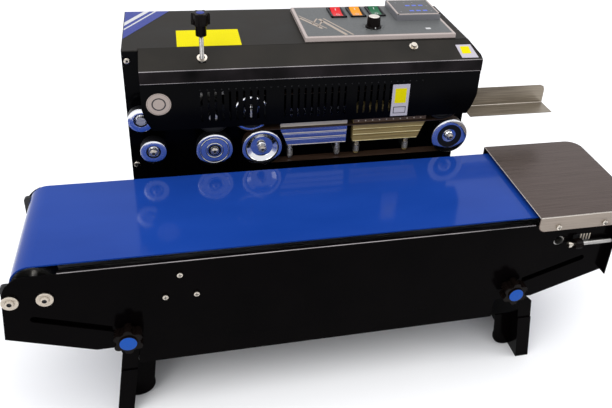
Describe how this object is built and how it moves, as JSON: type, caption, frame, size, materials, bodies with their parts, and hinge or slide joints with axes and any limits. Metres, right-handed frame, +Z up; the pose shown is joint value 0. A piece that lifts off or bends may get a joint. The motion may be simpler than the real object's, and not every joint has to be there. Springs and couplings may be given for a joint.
{
  "type": "continuous band sealer",
  "caption": "Tabletop continuous band sealer: a sealing head with band wheels, sealing blocks and controls behind a short belt conveyor on sliding legs.",
  "frame": {"origin": "on the floor under the middle of the bounding box", "axes": "+X is the way the bags travel, +Y points from the conveyor to the sealing head, +Z is up"},
  "size_m": [0.853, 0.41, 0.491],
  "materials": {
    "black_paint": "gloss powder coat",
    "top_paint": "fine textured powder coat",
    "blue_belt": "glossy, lightly reflective",
    "zinc_steel": "zinc plated",
    "screw_steel": "bright",
    "spring_steel": "drawn wire",
    "stainless": "brushed",
    "wheel_chrome": "polished",
    "block_aluminium": "machined",
    "block_brass": "machined",
    "knob_plastic": "gloss",
    "housing_plastic": "satin",
    "panel_skin": "printed film, satin",
    "red_plastic": "gloss, translucent",
    "amber_plastic": "gloss, translucent",
    "green_plastic": "gloss, translucent",
    "rubber": "matte",
    "tyre_rubber": "semi-matte tyre",
    "band_tape": "coated glass cloth, satin",
    "motor_paint": "satin"
  },
  "bodies": {
    "machine": {"axle_blocks": "zinc_steel", "belt_bed": "zinc_steel", "block_rail": "zinc_steel", "carrier_guide": "zinc_steel", "control_panel": "panel_skin", "conveyor_belt": "blue_belt", "conveyor_front_plate": "black_paint", "conveyor_rear_plate": "black_paint", "conveyor_screws": "screw_steel", "conveyor_tray": "black_paint", "end_cover": "stainless", "front_hood": "black_paint", "gearmotor": "motor_paint", "head_base": "black_paint", "head_brackets": "black_paint", "head_casing": "black_paint", "head_screws": "screw_steel", "head_top": "top_paint", "mechanism_plate": "black_paint", "outfeed_guide": "stainless", "power_inlet": "housing_plastic", "rubber_feet": "rubber", "sealing_bands": "band_tape", "shaft_bearings": "zinc_steel", "switch_housings": "housing_plastic", "temperature_controller": "housing_plastic", "tie_rods": "zinc_steel", "upper_cooling_block": "block_aluminium", "upper_heating_block": "block_brass", "wheel_posts": "zinc_steel"},
    "left_leg": {"left_leg": "black_paint"},
    "right_leg": {"right_leg": "black_paint"},
    "left_leg_knob": {"left_leg_knob": "knob_plastic"},
    "right_leg_knob": {"right_leg_knob": "knob_plastic"},
    "lower_drive": {"lower_drive_wheel": "wheel_chrome", "lower_drive_shaft": "zinc_steel"},
    "upper_drive": {"upper_drive_wheel": "wheel_chrome", "upper_drive_shaft": "zinc_steel"},
    "lower_idler": {"lower_idler_wheel": "wheel_chrome"},
    "upper_idler": {"upper_idler_wheel": "wheel_chrome"},
    "lower_press": {"lower_press_wheel": "wheel_chrome", "press_shaft": "zinc_steel"},
    "press_carrier": {"press_carrier": "zinc_steel", "pressure_spring": "spring_steel"},
    "upper_press": {"upper_press_wheel": "tyre_rubber"},
    "lower_guide": {"lower_guide_wheel": "wheel_chrome"},
    "upper_guide": {"upper_guide_wheel": "wheel_chrome"},
    "pinion": {"motor_pinion": "zinc_steel"},
    "conveyor_drive": {"conveyor_drive_roller": "zinc_steel"},
    "conveyor_idler": {"conveyor_idler_roller": "zinc_steel"},
    "cooling_block": {"lower_cooling_block": "block_aluminium", "cooling_block_springs": "spring_steel"},
    "heating_block": {"lower_heating_block": "block_brass", "heating_block_springs": "spring_steel"},
    "red_switch": {"red_rocker": "red_plastic"},
    "amber_switch": {"amber_rocker": "amber_plastic"},
    "green_switch": {"green_rocker": "green_plastic"},
    "speed_dial": {"speed_knob": "knob_plastic"},
    "pressure_dial": {"pressure_knob": "knob_plastic", "pressure_screw": "zinc_steel"}
  },
  "joints": [
    {"name": "left_leg_slide", "type": "slide", "parent": "machine", "child": "left_leg", "axis": [-0.9455, 0, 0.3256], "range_m": [0, 0.1]},
    {"name": "right_leg_slide", "type": "slide", "parent": "machine", "child": "right_leg", "axis": [0.9455, 0, 0.3256], "range_m": [0, 0.1]},
    {"name": "left_leg_knob_turn", "type": "hinge", "parent": "left_leg", "child": "left_leg_knob", "pos_m": [-0.284, 0.02, 0.1505], "axis": [0, 1, 0], "continuous": true},
    {"name": "right_leg_knob_turn", "type": "hinge", "parent": "right_leg", "child": "right_leg_knob", "pos_m": [0.24, 0.02, 0.1505], "axis": [0, 1, 0], "continuous": true},
    {"name": "lower_drive_spin", "type": "hinge", "parent": "machine", "child": "lower_drive", "pos_m": [-0.09, 0.02, 0.2868], "axis": [0, 1, 0], "continuous": true},
    {"name": "upper_drive_spin", "type": "hinge", "parent": "machine", "child": "upper_drive", "pos_m": [-0.105, 0.02, 0.3432], "axis": [0, 1, 0], "continuous": true},
    {"name": "lower_idler_spin", "type": "hinge", "parent": "machine", "child": "lower_idler", "pos_m": [0.204, 0.02, 0.2868], "axis": [0, 1, 0], "continuous": true},
    {"name": "upper_idler_spin", "type": "hinge", "parent": "machine", "child": "upper_idler", "pos_m": [0.189, 0.02, 0.3432], "axis": [0, 1, 0], "continuous": true},
    {"name": "lower_press_spin", "type": "hinge", "parent": "machine", "child": "lower_press", "pos_m": [-0.1588, 0.02, 0.2887], "axis": [0, 1, 0], "continuous": true},
    {"name": "press_carrier_slide", "type": "slide", "parent": "machine", "child": "press_carrier", "axis": [0, 0, 1], "range_m": [0, 0.003], "stiffness_N_per_m": 3000, "springref_m": -0.003, "deforming": ["pressure_spring"]},
    {"name": "upper_press_spin", "type": "hinge", "parent": "press_carrier", "child": "upper_press", "pos_m": [-0.1588, 0.02, 0.3403], "axis": [0, 1, 0], "continuous": true},
    {"name": "lower_guide_spin", "type": "hinge", "parent": "machine", "child": "lower_guide", "pos_m": [-0.244, 0.02, 0.292], "axis": [0, 1, 0], "continuous": true},
    {"name": "upper_guide_spin", "type": "hinge", "parent": "machine", "child": "upper_guide", "pos_m": [-0.2575, 0.02, 0.341], "axis": [0, 1, 0], "continuous": true},
    {"name": "pinion_spin", "type": "hinge", "parent": "machine", "child": "pinion", "pos_m": [-0.09, 0.02, 0.2451], "axis": [0, 1, 0], "continuous": true},
    {"name": "conveyor_drive_spin", "type": "hinge", "parent": "machine", "child": "conveyor_drive", "pos_m": [0.365, 0.02, 0.233], "axis": [0, 1, 0], "continuous": true},
    {"name": "conveyor_idler_spin", "type": "hinge", "parent": "machine", "child": "conveyor_idler", "pos_m": [-0.386, 0.02, 0.233], "axis": [0, 1, 0], "continuous": true},
    {"name": "cooling_block_slide", "type": "slide", "parent": "machine", "child": "cooling_block", "axis": [0, 0, 1], "range_m": [-0.002, 0], "stiffness_N_per_m": 4000, "springref_m": 0.003, "deforming": ["cooling_block_springs"]},
    {"name": "heating_block_slide", "type": "slide", "parent": "machine", "child": "heating_block", "axis": [0, 0, 1], "range_m": [-0.002, 0], "stiffness_N_per_m": 4000, "springref_m": 0.003, "deforming": ["heating_block_springs"]},
    {"name": "red_switch_tilt", "type": "hinge", "parent": "machine", "child": "red_switch", "pos_m": [0.045, 0.1565, 0.4395], "axis": [1, 0, 0], "range_deg": [-12, 0]},
    {"name": "amber_switch_tilt", "type": "hinge", "parent": "machine", "child": "amber_switch", "pos_m": [0.0765, 0.157, 0.4395], "axis": [1, 0, 0], "range_deg": [-12, 0]},
    {"name": "green_switch_tilt", "type": "hinge", "parent": "machine", "child": "green_switch", "pos_m": [0.1085, 0.1585, 0.4395], "axis": [1, 0, 0], "range_deg": [-12, 0]},
    {"name": "speed_dial_turn", "type": "hinge", "parent": "machine", "child": "speed_dial", "pos_m": [0.088, 0.093, 0.442], "axis": [0, 0, 1], "range_deg": [-135, 135]},
    {"name": "pressure_dial_turn", "type": "hinge", "parent": "machine", "child": "pressure_dial", "pos_m": [-0.1705, 0.0345, 0.44], "axis": [0, 0, 1], "continuous": true}
  ],
  "couplings": [
    {"joint": "upper_drive_spin", "follows": "lower_drive_spin", "ratio": -1},
    {"joint": "lower_idler_spin", "follows": "lower_drive_spin", "ratio": 1},
    {"joint": "upper_idler_spin", "follows": "lower_drive_spin", "ratio": -1},
    {"joint": "lower_press_spin", "follows": "lower_drive_spin", "ratio": 1.0769},
    {"joint": "upper_press_spin", "follows": "lower_drive_spin", "ratio": -1.12},
    {"joint": "lower_guide_spin", "follows": "lower_drive_spin", "ratio": 1.5556},
    {"joint": "upper_guide_spin", "follows": "lower_drive_spin", "ratio": -1.5556},
    {"joint": "pinion_spin", "follows": "lower_drive_spin", "ratio": -2.3333},
    {"joint": "conveyor_drive_spin", "follows": "lower_drive_spin", "ratio": 1.0646},
    {"joint": "conveyor_idler_spin", "follows": "lower_drive_spin", "ratio": 1.0646}
  ]
}
